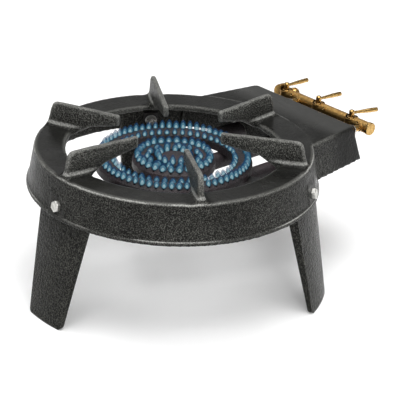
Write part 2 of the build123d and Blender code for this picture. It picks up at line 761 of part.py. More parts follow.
with BuildPart() as gas_manifold:
    with BuildSketch(Plane.XZ.offset(-blind_end_y)):
        with Locations((manifold_x, manifold_z)):
            Circle(manifold_d / 2)
    extrude(amount=blind_end_y - manifold_right_y)
    for name in tap_ys:
        with BuildSketch(tap_plane(name, barrel_bottom_z)):
            Circle(barrel_d / 2)
        extrude(amount=manifold_z - barrel_bottom_z)
        with BuildSketch(tap_plane(name, barrel_shoulder_z)):
            Circle(seat_d / 2)
        extrude(amount=seat_rim_z - barrel_shoulder_z)
    add(blind_end.part)
    with BuildSketch(Plane.YZ.offset(stud_socket_x)):
        with Locations(*[(y, manifold_z) for y in stud_ys]):
            Circle(stud_socket_d / 2)
    extrude(amount=manifold_x - stud_socket_x)
    with BuildSketch(Plane.YZ.offset(manifold_x)):
        with Locations((tap_ys["middle"], inlet_z)):
            Circle(inlet_boss_d / 2)
    extrude(amount=inlet_boss_x - manifold_x)
    with BuildSketch(Plane.XZ.offset(-manifold_right_y)):
        with Locations((manifold_x, manifold_z)):
            Circle(manifold_bore / 2)
    extrude(amount=manifold_right_y - tap_ys["middle"], mode=Mode.SUBTRACT)
    with BuildSketch(Plane.XZ.offset(-manifold_right_y)):
        with Locations((manifold_x, manifold_z)):
            Circle(end_bore_d / 2)
    extrude(amount=-end_bore_depth, mode=Mode.SUBTRACT)
    for name, y in tap_ys.items():
        with BuildSketch(tap_plane(name, seat_recess_z)):
            Circle(seat_recess_d / 2)
        extrude(amount=seat_rim_z, mode=Mode.SUBTRACT)
        with BuildSketch(tap_plane(name, chamber_floor_z)):
            Circle(chamber_d / 2)
        extrude(amount=seat_rim_z, mode=Mode.SUBTRACT)
        with BuildSketch(tap_plane(name, barrel_bottom_z)):
            Circle(bore_bottom_r)
        with BuildSketch(tap_plane(name, chamber_floor_z)):
            Circle(plug_top_r + chamber_gap)
        loft(mode=Mode.SUBTRACT)
        with BuildSketch(tap_plane(name, stop_notch_z)):
            with Locations(Rotation(0, 0, stop_notch_azimuth)):
                with Locations((seat_recess_d / 2, 0)):
                    Rectangle(stop_notch_length, stop_notch_width)
        extrude(amount=seat_rim_z, mode=Mode.SUBTRACT)
        with BuildSketch(Plane.YZ.offset(jet_face_x)):
            with Locations((y, tube_z)):
                Circle(jet_shank_d / 2 + thread_gap)
        extrude(amount=barrel_d / 2, mode=Mode.SUBTRACT)
        with BuildSketch(pilot_plane(y).offset(pilot_screw_proud + thread_play)):
            Circle(pilot_screw_d / 2 + thread_gap)
        extrude(amount=-(pilot_screw_length + 2 * thread_play), mode=Mode.SUBTRACT)
    with BuildSketch(Plane.YZ.offset(manifold_x)):
        with Locations((tap_ys["middle"], inlet_z)):
            Circle(inlet_bore_d / 2)
    extrude(amount=inlet_boss_x - manifold_x, mode=Mode.SUBTRACT)
    with BuildSketch(Plane.YZ.offset(inlet_boss_x)):
        with Locations((tap_ys["middle"], inlet_z)):
            Circle(inlet_thread_d / 2)
    extrude(amount=-inlet_thread_depth, mode=Mode.SUBTRACT)
    with BuildSketch(Plane.YZ.offset(stud_socket_x)):
        with Locations(*[(y, manifold_z) for y in stud_ys]):
            Circle(stud_d / 2 + thread_gap)
    extrude(amount=stud_end_x - stud_socket_x + thread_play, mode=Mode.SUBTRACT)
save(gas_manifold.part, "gas_manifold")

# Cap that closes the manifold's right end
with BuildPart() as end_plug:
    with BuildSketch(Plane.XZ.offset(-manifold_right_y)):
        with Locations((manifold_x, manifold_z)):
            Circle(end_cap_d / 2)
    extrude(amount=end_cap_thick)
    fillet(end_plug.edges().filter_by(GeomType.CIRCLE).sort_by(Axis.Y)[0], end_cap_round)
    with BuildSketch(Plane.XZ.offset(-manifold_right_y)):
        with Locations((manifold_x, manifold_z)):
            Circle(end_shank_d / 2)
    extrude(amount=-(end_bore_depth - thread_gap))
save(end_plug.part, "manifold_end_plug")

# Inlet elbow: a ball with a threaded shank and a stub that looks down
with BuildPart() as inlet_elbow:
    with Locations((elbow_x, tap_ys["middle"], inlet_z)):
        Sphere(elbow_ball_r)
    with BuildSketch(Plane.XY.offset(elbow_bottom_z)):
        with Locations((elbow_x, tap_ys["middle"])):
            Circle(elbow_stub_d / 2)
    extrude(amount=inlet_z - elbow_bottom_z)
    split(bisect_by=Plane.YZ.offset(inlet_boss_x), keep=Keep.TOP)
    with BuildSketch(Plane.YZ.offset(elbow_x)):
        with Locations((tap_ys["middle"], inlet_z)):
            Circle(inlet_thread_d / 2 - thread_gap)
    extrude(amount=inlet_boss_x - elbow_x - inlet_thread_depth + thread_gap)
    with BuildSketch(Plane.YZ.offset(elbow_x)):
        with Locations((tap_ys["middle"], inlet_z)):
            Circle(nozzle_bore / 2)
    extrude(amount=inlet_boss_x - elbow_x - inlet_thread_depth, mode=Mode.SUBTRACT)
    with BuildSketch(Plane.XY.offset(elbow_bottom_z)):
        with Locations((elbow_x, tap_ys["middle"])):
            Circle(nozzle_thread_d / 2 + thread_gap)
    extrude(amount=nozzle_thread_length + thread_play, mode=Mode.SUBTRACT)
    with BuildSketch(Plane.XY.offset(elbow_bottom_z)):
        with Locations((elbow_x, tap_ys["middle"])):
            Circle(nozzle_bore / 2)
    extrude(amount=inlet_z - elbow_bottom_z, mode=Mode.SUBTRACT)
save(inlet_elbow.part, "inlet_elbow")

# Hose nozzle: hexagon collar, threaded top and a barbed shank that looks down
nozzle_plane = Plane(origin=(elbow_x, tap_ys["middle"], elbow_bottom_z), x_dir=(1, 0, 0), z_dir=(0, 0, -1))
nozzle_length = nozzle_hex_thick + nozzle_barbs * nozzle_barb_length + nozzle_tip_length
with BuildPart() as hose_nozzle:
    with BuildSketch(nozzle_plane):
        hexagon(nozzle_across)
    extrude(amount=nozzle_hex_thick)
    with BuildSketch(nozzle_plane):
        Circle(nozzle_thread_d / 2)
    extrude(amount=-nozzle_thread_length)
    for barb in range(nozzle_barbs):
        with BuildSketch(nozzle_plane.offset(nozzle_hex_thick + barb * nozzle_barb_length)):
            Circle(nozzle_barb_d / 2)
        with BuildSketch(nozzle_plane.offset(nozzle_hex_thick + (barb + 1) * nozzle_barb_length)):
            Circle(nozzle_root_d / 2)
        loft()
    with BuildSketch(nozzle_plane.offset(nozzle_length)):
        Circle(nozzle_root_d / 2)
    extrude(amount=-nozzle_tip_length)
    with BuildSketch(nozzle_plane.offset(nozzle_length)):
        Circle(nozzle_bore / 2)
    extrude(amount=-nozzle_length - nozzle_thread_length, mode=Mode.SUBTRACT)
save(hose_nozzle.part, "hose_nozzle")


# One stud: threaded through the hood's wall, with a spacer against the washer and the manifold
def make_stud(y):
    tail_x = stud_boss_inner_x - stud_washer_thick - stud_nut_height - stud_tail
    spacer_x = stud_boss_face_x + stud_washer_thick
    with BuildPart() as piece:
        with BuildSketch(Plane.YZ.offset(spacer_x)):
            with Locations((y, manifold_z)):
                Circle(stud_spacer_d / 2)
        extrude(amount=stud_socket_x - spacer_x)
        with BuildSketch(Plane.YZ.offset(tail_x)):
            with Locations((y, manifold_z)):
                Circle(stud_d / 2)
        extrude(amount=stud_end_x - tail_x)
    return piece.part


def wall_plane(x, y):
    return Plane(origin=(x, y, manifold_z), x_dir=(0, 1, 0), z_dir=(1, 0, 0))


inner_washer_x = stud_boss_inner_x - stud_washer_thick
stud_washers = [make_ring(wall_plane(x, y), stud_washer_d, stud_d + thread_play, stud_washer_thick)
                for x in (stud_boss_face_x, inner_washer_x) for y in stud_ys]
save_group([make_stud(y) for y in stud_ys], "manifold_studs")
save_group(stud_washers, "stud_washers")
save_group([make_nut(wall_plane(inner_washer_x - stud_nut_height, y), stud_nut_across,
                     stud_d + thread_play, stud_nut_height) for y in stud_ys], "stud_nuts")


# Pilot screws that close the drilled ways beside each tap
def make_pilot_screw(y):
    with BuildPart() as piece:
        with BuildSketch(pilot_plane(y).offset(pilot_screw_proud)):
            Circle(pilot_screw_d / 2)
        extrude(amount=-pilot_screw_length)
        with BuildSketch(pilot_plane(y).offset(pilot_screw_proud)):
            hexagon(pilot_socket_across)
        extrude(amount=-pilot_screw_length / 2, mode=Mode.SUBTRACT)
    return piece.part


save_group([make_pilot_screw(y) for y in tap_ys.values()], "pilot_screws")


# Gland nut: collar in the seat and a shank in the chamber, round the stem
def make_gland(name):
    with BuildPart() as piece:
        with BuildSketch(tap_plane(name, seat_recess_z)):
            Circle(gland_collar_d / 2)
        extrude(amount=gland_top_z - seat_recess_z)
        fillet(piece.edges().sort_by(Axis.Z)[-1], gland_round)
        with BuildSketch(tap_plane(name, gland_bottom_z)):
            Circle(gland_shank_d / 2)
        extrude(amount=seat_recess_z - gland_bottom_z)
        with BuildSketch(tap_plane(name, gland_bottom_z)):
            Circle(stem_d / 2 + plug_gap)
        extrude(amount=gland_top_z - gland_bottom_z, mode=Mode.SUBTRACT)
    return piece.part


save_group([make_gland(name) for name in tap_ys], "gland_nuts")


def jet_plane(x, y):
    return Plane(origin=(x, y, tube_z), x_dir=(0, 1, 0), z_dir=(-1, 0, 0))


# Jet: threaded shank in the barrel, hexagon and a nose that looks into the mixing tube
def make_jet(y):
    hex_x = jet_face_x - jet_hex_thick
    with BuildPart() as piece:
        with BuildSketch(jet_plane(jet_face_x, y)):
            hexagon(jet_hex_across)
        extrude(amount=jet_hex_thick)
        with BuildSketch(jet_plane(hex_x, y)):
            Circle(jet_nose_d / 2)
        with BuildSketch(jet_plane(jet_tip_x, y)):
            Circle(jet_tip_d / 2)
        loft()
        with BuildSketch(jet_plane(jet_face_x, y)):
            Circle(jet_shank_d / 2)
        extrude(amount=-jet_shank_length)
        with BuildSketch(jet_plane(jet_face_x + jet_shank_length, y)):
            Circle(jet_feed_d / 2)
        extrude(amount=jet_shank_length + jet_hex_thick, mode=Mode.SUBTRACT)
        with BuildSketch(jet_plane(jet_face_x, y)):
            Circle(jet_bore / 2)
        extrude(amount=jet_face_x - jet_tip_x, mode=Mode.SUBTRACT)
    return piece.part


save_group([make_jet(y) for y in tap_ys.values()], "gas_jets")


# Tap plug with its stem, head and tail, drilled for the gas
def make_plug(name):
    turn = tap_rest[name]
    lever_plane = Plane(origin=(manifold_x, tap_ys[name], lever_z),
                        z_dir=polar(1, turn, 0))
    with BuildPart() as piece:
        with BuildSketch(tap_plane(name, plug_bottom_z)):
            Circle(plug_bottom_r)
        with BuildSketch(tap_plane(name, chamber_floor_z)):
            Circle(plug_top_r)
        loft()
        with BuildSketch(tap_plane(name, tail_bottom_z)):
            Circle(tail_d / 2)
        extrude(amount=plug_bottom_z - tail_bottom_z)
        with BuildSketch(tap_plane(name, chamber_floor_z)):
            Circle(stem_d / 2)
        extrude(amount=head_bottom_z - chamber_floor_z)
        with BuildSketch(tap_plane(name, head_bottom_z)):
            Circle(head_d / 2)
        extrude(amount=head_top_z - head_bottom_z)
        fillet(piece.edges().sort_by(Axis.Z)[-1], head_round)
        with BuildSketch(lever_plane):
            Circle(lever_root_d / 2 + thread_gap)
        extrude(amount=head_d, mode=Mode.SUBTRACT)
        with BuildSketch(tap_plane(name, tube_z)):
            Circle(gas_way_d / 2)
        extrude(amount=gas_way_z - tube_z, mode=Mode.SUBTRACT)
        with BuildSketch(Plane(origin=(manifold_x, tap_ys[name], tube_z), z_dir=(-1, 0, 0))):
            Circle(gas_way_d / 2)
        extrude(amount=plug_top_r, mode=Mode.SUBTRACT)
        with BuildSketch(Plane(origin=(manifold_x, tap_ys[name], gas_way_z), z_dir=(0, 1, 0))):
            Circle(gas_way_d / 2)
        extrude(amount=stem_d, both=True, mode=Mode.SUBTRACT)
    return piece.part


# Tap lever: a rod that swells to a thicker grip
def make_lever(name):
    direction = polar(1, tap_rest[name], 0)
    plane = Plane(origin=(manifold_x, tap_ys[name], lever_z), z_dir=direction)
    grip = lever_reach - lever_tip_length
    with BuildPart() as piece:
        with BuildSketch(plane.offset(thread_gap)):
            Circle(lever_root_d / 2)
        extrude(amount=head_d)
        with BuildSketch(plane.offset(head_d)):
            Circle(lever_root_d / 2)
        with BuildSketch(plane.offset(grip)):
            Circle(lever_tip_d / 2)
        loft()
        with BuildSketch(plane.offset(grip)):
            Circle(lever_tip_d / 2)
        extrude(amount=lever_tip_length)
        end = piece.faces().sort_by(Axis(plane.origin, plane.z_dir))[-1]
        fillet(end.edges(), lever_end_round)
    return piece.part


for name in tap_ys:
    save(make_plug(name), name + "_tap_plug")
    save(make_lever(name), name + "_tap_lever")
    spring_z = barrel_bottom_z - tap_spring_gap - tap_spring_thick
    save(make_ring(tap_plane(name, spring_z), tap_spring_d, tail_d + thread_play, tap_spring_thick),
         name + "_tap_washer")
    save(make_nut(tap_plane(name, spring_z - tap_nut_height), tap_nut_across, tail_d + thread_play,
                  tap_nut_height), name + "_tap_nut")
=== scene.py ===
import json
import math

import bmesh
import bpy
from mathutils import Matrix, Vector


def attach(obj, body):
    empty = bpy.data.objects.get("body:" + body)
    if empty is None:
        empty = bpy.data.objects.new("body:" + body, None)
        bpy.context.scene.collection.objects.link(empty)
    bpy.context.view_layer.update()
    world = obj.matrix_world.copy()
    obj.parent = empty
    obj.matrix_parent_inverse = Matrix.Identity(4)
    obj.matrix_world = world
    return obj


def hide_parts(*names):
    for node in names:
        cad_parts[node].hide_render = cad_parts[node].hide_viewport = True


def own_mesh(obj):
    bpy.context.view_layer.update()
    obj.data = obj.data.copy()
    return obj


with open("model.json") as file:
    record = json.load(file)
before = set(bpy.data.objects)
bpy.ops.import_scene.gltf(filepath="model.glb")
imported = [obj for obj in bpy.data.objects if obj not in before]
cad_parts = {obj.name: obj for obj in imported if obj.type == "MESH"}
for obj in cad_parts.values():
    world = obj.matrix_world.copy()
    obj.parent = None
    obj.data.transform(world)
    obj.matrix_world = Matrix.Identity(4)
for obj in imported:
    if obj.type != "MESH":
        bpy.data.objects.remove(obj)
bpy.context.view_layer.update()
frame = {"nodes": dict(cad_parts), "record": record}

nodes = frame["nodes"]
print("frame loaded:", len(nodes), "nodes")


# Node helpers

# Rays that look for rounded edges and for sheltered corners
rays = {"edges": 6, "shelter": 8}


def addNode(tree, kind, inputs=None, **settings):
    node = tree.nodes.new(kind)
    for name, value in settings.items():
        setattr(node, name, value)
    for name, value in (inputs or {}).items():
        if isinstance(value, bpy.types.NodeSocket):
            tree.links.new(value, node.inputs[name])
        else:
            node.inputs[name].default_value = value
    return node


def newMaterial(name):
    material = bpy.data.materials.new(name)
    material.use_nodes = True
    tree = material.node_tree
    return material, tree, tree.nodes["Principled BSDF"]


def calculate(tree, operation, *values):
    inputs = dict(enumerate(values))
    return addNode(tree, "ShaderNodeMath", inputs, operation=operation).outputs[0]


def times(tree, first, *others):
    for other in others:
        first = calculate(tree, "MULTIPLY", first, other)
    return first


def spread(tree, value, fromLow, fromHigh, toLow=0.0, toHigh=1.0):
    node = addNode(tree, "ShaderNodeMapRange", {
        "Value": value, "From Min": fromLow, "From Max": fromHigh, "To Min": toLow, "To Max": toHigh,
    })
    return node.outputs["Result"]


def blendColours(tree, share, first, second):
    node = tree.nodes.new("ShaderNodeMix")
    node.data_type = "RGBA"
    # A Mix node's colour sockets come after its number and vector ones
    factor, colourA, colourB = node.inputs[0], node.inputs[6], node.inputs[7]
    for socket, value in ((factor, share), (colourA, first), (colourB, second)):
        if isinstance(value, bpy.types.NodeSocket):
            tree.links.new(value, socket)
        elif socket is factor:
            socket.default_value = value
        else:
            socket.default_value = (*value, 1.0)
    return node.outputs[2]


def noise(tree, place, scale, detail=2.0, roughness=0.5):
    node = addNode(tree, "ShaderNodeTexNoise", {
        "Vector": place, "Scale": scale, "Detail": detail, "Roughness": roughness,
    })
    return node.outputs["Fac"]


def edgeShare(tree, radius):
    # How far the rounded normal turns away from the flat one: high only along edges
    rounded = addNode(tree, "ShaderNodeBevel", {"Radius": radius}, samples=rays["edges"]).outputs["Normal"]
    flat = addNode(tree, "ShaderNodeNewGeometry").outputs["Normal"]
    alike = addNode(tree, "ShaderNodeVectorMath", {0: rounded, 1: flat}, operation="DOT_PRODUCT")
    return rounded, calculate(tree, "SUBTRACT", 1.0, alike.outputs["Value"])


def fromAxis(tree, spot):
    # Distance from the upright axis through the burners
    flat = addNode(tree, "ShaderNodeCombineXYZ", {"X": spot.outputs["X"], "Y": spot.outputs["Y"]})
    length = addNode(tree, "ShaderNodeVectorMath", {0: flat.outputs[0]}, operation="LENGTH")
    return length.outputs["Value"]


# Camera, floor and light

# Metres, degrees, and a lens on a 36 mm sensor
photoView = {
    "place": (-1.1694, -1.3294, 0.9481),
    "look": (0.6109, 0.6665, -0.4272),
    "roll": 2.6,
    "lens": 134.4,
    "sensor": 36.0,
    "farClip": 60.0,
}

studio = {
    "aim": (0.0, 0.0, 0.15),    # what every softbox looks at
    "floorSize": 30.0,
    "floorColour": (0.91, 0.91, 0.91, 1.0),
    "floorRoughness": 0.7,
    "floorGlow": 0.14,          # lifts the shadows a little
    "skyColour": (1.0, 1.0, 1.0, 1.0),
    "skyLow": 0.30,             # strength at the horizon
    "skyHigh": 0.12,            # strength overhead
    "skyTurn": 0.85,            # height where it has faded
}

# Each softbox: where it hangs, its width and its power in watts
softboxes = {
    "overBox": {"place": (-0.1, -0.2, 2.6), "width": 2.4, "watts": 98.0},
    "frontBox": {"place": (-1.0, -2.3, 1.25), "width": 0.5, "watts": 14.0},
    "leftBox": {"place": (-2.3, -0.5, 1.2), "width": 0.6, "watts": 1.2},
    "rightBox": {"place": (1.5, -2.0, 0.9), "width": 0.6, "watts": 2.4},
    "backBox": {"place": (1.4, 2.0, 1.9), "width": 1.4, "watts": 6.0},
}


def makeCamera(view):
    ahead = Vector(view["look"]).normalized()
    right = ahead.cross(Vector((0, 0, 1))).normalized()
    up = right.cross(ahead)
    roll = math.radians(view["roll"])
    leaningRight = right * math.cos(roll) + up * math.sin(roll)
    leaningUp = up * math.cos(roll) - right * math.sin(roll)
    data = bpy.data.cameras.new("photoCamera")
    data.lens = view["lens"]
    data.sensor_width = view["sensor"]
    data.clip_end = view["farClip"]
    camera = bpy.data.objects.new("photoCamera", data)
    bpy.context.scene.collection.objects.link(camera)
    turn = Matrix((leaningRight, leaningUp, -ahead)).transposed().to_4x4()
    camera.matrix_world = Matrix.Translation(view["place"]) @ turn
    bpy.context.scene.camera = camera


def makeSoftbox(name, box):
    data = bpy.data.lights.new(name, "AREA")
    data.shape = "SQUARE"
    data.size = box["width"]
    data.energy = box["watts"]
    lamp = bpy.data.objects.new(name, data)
    bpy.context.scene.collection.objects.link(lamp)
    away = Vector(box["place"]) - Vector(studio["aim"])
    lamp.location = box["place"]
    lamp.rotation_mode = "QUATERNION"
    lamp.rotation_quaternion = away.to_track_quat("Z", "Y")


def makeSky():
    world = bpy.data.worlds.new("studioSky")
    world.use_nodes = True
    tree = world.node_tree
    background = tree.nodes["Background"]
    background.inputs["Color"].default_value = studio["skyColour"]
    direction = addNode(tree, "ShaderNodeTexCoord").outputs["Generated"]
    height = addNode(tree, "ShaderNodeSeparateXYZ", {"Vector": direction}).outputs["Z"]
    strength = spread(tree, height, 0.0, studio["skyTurn"], studio["skyLow"], studio["skyHigh"])
    tree.links.new(strength, background.inputs["Strength"])
    bpy.context.scene.world = world


def makeFloor():
    half = studio["floorSize"] / 2
    corners = [(-half, -half, 0), (half, -half, 0), (half, half, 0), (-half, half, 0)]
    mesh = bpy.data.meshes.new("floor")
    mesh.from_pydata(corners, [], [(0, 1, 2, 3)])
    floor = bpy.data.objects.new("floor", mesh)
    bpy.context.scene.collection.objects.link(floor)
    material, _, shader = newMaterial("paleFloor")
    shader.inputs["Base Color"].default_value = studio["floorColour"]
    shader.inputs["Roughness"].default_value = studio["floorRoughness"]
    shader.inputs["Emission Color"].default_value = studio["floorColour"]
    shader.inputs["Emission Strength"].default_value = studio["floorGlow"]
    mesh.materials.append(material)


# Iron finishes

# Thin painted highlight lines along the ring's crease and its bead, faint or gone where the hood takes over
rimHighlight = {
    "creaseRadius": 0.1796,
    "creaseAbove": 0.185,
    "creaseOverHood": 0.3,
    "beadHeight": 0.1432,
    "beadOutside": 0.1855,
    "halfWidth": 0.0009,
    "solidWidth": 0.00036,
    "hoodFrom": (0.136, 0.150),
    "patchScale": 13.0,
    "patchDetail": 3.0,
    "patches": (0.46, 0.60),
    "leastPatch": 0.10,
}


def rimLines(tree, place, spot):
    # Share of painted highlight on the two lines round the ring
    def nearness(value, target):
        away = calculate(tree, "ABSOLUTE", calculate(tree, "SUBTRACT", value, target))
        return spread(tree, away, rimHighlight["solidWidth"], rimHighlight["halfWidth"], 1.0, 0.0)

    radius = fromAxis(tree, spot)
    height = spot.outputs["Z"]
    onRing = spread(tree, spot.outputs["X"], *rimHighlight["hoodFrom"], 1.0, 0.0)
    onTop = calculate(tree, "GREATER_THAN", height, rimHighlight["creaseAbove"])
    overHood = calculate(tree, "MAXIMUM", onRing, rimHighlight["creaseOverHood"])
    crease = times(tree, nearness(radius, rimHighlight["creaseRadius"]), onTop, overHood)
    outside = calculate(tree, "GREATER_THAN", radius, rimHighlight["beadOutside"])
    bead = times(tree, nearness(height, rimHighlight["beadHeight"]), outside, onRing)
    patches = noise(tree, place, rimHighlight["patchScale"], rimHighlight["patchDetail"])
    patches = spread(tree, patches, *rimHighlight["patches"], rimHighlight["leastPatch"], 1.0)
    return times(tree, calculate(tree, "MAXIMUM", crease, bead), patches)


# The prongs' roots carry a painted highlight in a band above the sloped top of the ring
rootHighlight = {
    "rimRadius": 0.180,
    "rimHeight": 0.190,
    "slope": 0.065,
    "inside": (0.126, 0.140),
    "bandFrom": (0.0022, 0.0036),
    "bandTo": (0.0056, 0.0080),
    "share": 0.9,
}


def rootBand(tree, spot):
    # Share of painted highlight where a prong rises from the ring
    radius = fromAxis(tree, spot)
    inwards = calculate(tree, "SUBTRACT", rootHighlight["rimRadius"], radius)
    drop = times(tree, calculate(tree, "MAXIMUM", inwards, 0.0), rootHighlight["slope"])
    level = calculate(tree, "SUBTRACT", spot.outputs["Z"], rootHighlight["rimHeight"])
    level = calculate(tree, "ADD", level, drop)
    onRing = spread(tree, radius, *rootHighlight["inside"])
    lower = spread(tree, level, *rootHighlight["bandFrom"])
    upper = spread(tree, level, *rootHighlight["bandTo"], rootHighlight["share"], 0.0)
    return times(tree, onRing, lower, upper)


# Scales are cells in a metre; depths and edges are metres
# The worn colour is partly a painted highlight, the pale specks are painted glints, and bright colours the
# painted highlight lines
ironLooks = {
    "black_iron": {
        "dark": (0.006, 0.006, 0.0055), "pale": (0.100, 0.100, 0.090), "stain": (0.010, 0.010, 0.009),
        "wornAndHighlit": (0.30, 0.30, 0.28), "grainScale": 760.0, "grainDepth": 0.0006, "dimpleScale": 380.0,
        "dimpleDepth": 0.0009, "waveScale": 22.0, "waveDepth": 0.0022, "edge": 0.0012, "roughness": 0.30,
        "shine": 0.09, "topCalm": 0.16, "ridges": 0.75, "litProngPale": (0.23, 0.23, 0.21),
        "bright": (0.55, 0.55, 0.52),
    },
    "leg_iron": {
        "dark": (0.005, 0.005, 0.0045), "pale": (0.070, 0.070, 0.060), "stain": (0.008, 0.008, 0.007),
        "wornAndHighlit": (0.16, 0.16, 0.14), "grainScale": 640.0, "grainDepth": 0.0006, "dimpleScale": 300.0,
        "dimpleDepth": 0.0010, "waveScale": 20.0, "waveDepth": 0.0016, "edge": 0.0012, "roughness": 0.26,
        "shine": 0.09, "topCalm": 1.0, "ridges": 0.0,
    },
    "burner_iron": {
        "dark": (0.016, 0.014, 0.015), "pale": (0.050, 0.042, 0.046), "stain": (0.028, 0.017, 0.020),
        "wornAndHighlit": (0.08, 0.07, 0.07), "grainScale": 800.0, "grainDepth": 0.0004, "dimpleScale": 360.0,
        "dimpleDepth": 0.0005, "waveScale": 30.0, "waveDepth": 0.0010, "edge": 0.0008, "roughness": 0.55,
        "shine": 0.30, "topCalm": 1.0, "ridges": 0.0,
    },
    "strap_steel": {
        "dark": (0.012, 0.012, 0.012), "pale": (0.03, 0.03, 0.03), "stain": (0.020, 0.016, 0.014),
        "wornAndHighlit": (0.09, 0.09, 0.085), "grainScale": 900.0, "grainDepth": 0.0002, "dimpleScale": 400.0,
        "dimpleDepth": 0.0002, "waveScale": 30.0, "waveDepth": 0.0006, "edge": 0.0008, "roughness": 0.40,
        "shine": 0.30, "topCalm": 1.0, "ridges": 0.0,
    },
}

# A share changes from one end of its span to the other; places are in metres, and noise has no unit
ironSpans = {
    "flatTop": (0.80, 0.97),        # how far a face looks up
    "prong": (0.189, 0.213),        # up from the floor
    "hood": (0.180, 0.205),         # along the hood
    "lowEdge": (0.1405, 0.1425),    # up from the floor
    "glintPatches": (0.38, 0.62),
    "glintSpecks": (0.52, 0.58),
    "stains": (0.42, 0.66),
    "edges": (0.03, 0.30),
    "ridges": (0.510, 0.560),
    "bareAndLitGrain": (0.36, 0.54),
    "grit": (0.42, 0.56),
    "waves": (0.3, 0.7),
}

ironMix = {
    "dimpleSoftness": 0.7,
    "grainDetail": 3.0,
    "grainRoughness": 0.62,
    "hoodSpecks": 0.12,
    "hoodBumps": 0.5,
    "litHoodTop": (0.040, 0.040, 0.038),
    "litProngBase": (0.026, 0.026, 0.024),
    "glintPatchScale": 11.0,
    "leastGlintPatch": 0.6,
    "stainScale": 34.0,
    "stainDetail": 4.0,
    "bareAndLitShares": (0.25, 0.9),
    "leastGrit": 0.25,
    "smoother": 0.06,
    "rougher": 0.08,
}


def makeIron(name, look):
    material, tree, shader = newMaterial(name)
    coordinates = addNode(tree, "ShaderNodeTexCoord").outputs
    place = coordinates["Object"]
    rounded, edges = edgeShare(tree, look["edge"])
    spot = addNode(tree, "ShaderNodeSeparateXYZ", {"Vector": place})
    height = spot.outputs["Z"]

    # Flat tops are calmer than the flanks, and the hood is calmer than the ring
    upwards = addNode(tree, "ShaderNodeSeparateXYZ", {"Vector": coordinates["Normal"]}).outputs["Z"]
    relief = spread(tree, upwards, *ironSpans["flatTop"], 1.0, look["topCalm"])
    offHood = spread(tree, spot.outputs["X"], *ironSpans["hood"], 1.0, ironMix["hoodSpecks"])
    bumps = times(tree, relief, calculate(tree, "MAXIMUM", offHood, ironMix["hoodBumps"]))

    # Sand-cast skin: slow waves, then dimples, then fine grain
    waves = noise(tree, place, look["waveScale"])
    dimples = addNode(tree, "ShaderNodeTexVoronoi", {
        "Vector": place, "Scale": look["dimpleScale"], "Smoothness": ironMix["dimpleSoftness"],
    }, feature="SMOOTH_F1").outputs["Distance"]
    grain = noise(tree, place, look["grainScale"], ironMix["grainDetail"], ironMix["grainRoughness"])
    skin = addNode(tree, "ShaderNodeBump", {
        "Height": waves, "Distance": look["waveDepth"], "Normal": rounded,
    }).outputs["Normal"]
    for depthMap, depth in ((dimples, look["dimpleDepth"]), (grain, look["grainDepth"])):
        skin = addNode(tree, "ShaderNodeBump", {
            "Height": depthMap, "Distance": depth, "Strength": bumps, "Normal": skin,
        }).outputs["Normal"]
    tree.links.new(skin, shader.inputs["Normal"])

    # Stains, then painted light: a lighter hood top and lighter prongs
    stains = noise(tree, place, ironMix["stainScale"], ironMix["stainDetail"])
    stains = spread(tree, stains, *ironSpans["stains"])
    base = blendColours(tree, stains, look["dark"], look["stain"])
    # The hood's upward faces are painted lighter, a painted sheen
    onHood = spread(tree, offHood, 1.0, ironMix["hoodSpecks"])
    litHoodTop = times(tree, onHood, spread(tree, upwards, *ironSpans["flatTop"]))
    base = blendColours(tree, litHoodTop, base, ironMix["litHoodTop"])
    # The prongs are painted lighter up their height, as painted light
    onProng = spread(tree, height, *ironSpans["prong"])
    base = blendColours(tree, onProng, base, ironMix["litProngBase"])

    # Pale specks on the high grain as painted glints, palest on the prongs and fewest on the hood
    glintPatches = noise(tree, place, ironMix["glintPatchScale"])
    glintPatches = spread(tree, glintPatches, *ironSpans["glintPatches"], ironMix["leastGlintPatch"], 1.0)
    glintSpecks = times(tree, spread(tree, grain, *ironSpans["glintSpecks"]), relief, offHood, glintPatches)
    pale = blendColours(tree, onProng, look["pale"], look.get("litProngPale", look["pale"]))
    base = blendColours(tree, glintSpecks, base, pale)

    # Edges and ridges rubbed bare and also brightened as a painted highlight, though not the low edge of
    # the bead
    pointed = addNode(tree, "ShaderNodeNewGeometry").outputs["Pointiness"]
    ridges = spread(tree, pointed, *ironSpans["ridges"], 0.0, look["ridges"])
    ridges = times(tree, ridges, offHood, spread(tree, height, *ironSpans["lowEdge"]))
    bareAndLit = calculate(tree, "MAXIMUM", spread(tree, edges, *ironSpans["edges"]), ridges)
    bareAndLit = times(tree, bareAndLit, spread(tree, grain, *ironSpans["bareAndLitGrain"], *ironMix["bareAndLitShares"]))
    base = blendColours(tree, bareAndLit, base, look["wornAndHighlit"])
    # Painted highlight lines along the ring's crease and bead and round the prongs' roots
    if "bright" in look:
        grit = spread(tree, grain, *ironSpans["grit"], ironMix["leastGrit"], look["ridges"])
        wornAndHighlit = calculate(tree, "MAXIMUM", rimLines(tree, place, spot), rootBand(tree, spot))
        base = blendColours(tree, times(tree, wornAndHighlit, grit), base, look["bright"])
    tree.links.new(base, shader.inputs["Base Color"])

    shader.inputs["Specular IOR Level"].default_value = look["shine"]
    smoothest = look["roughness"] - ironMix["smoother"]
    roughest = look["roughness"] + ironMix["rougher"]
    roughness = spread(tree, waves, *ironSpans["waves"], smoothest, roughest)
    tree.links.new(roughness, shader.inputs["Roughness"])
    return material


# Brass and zinc finishes

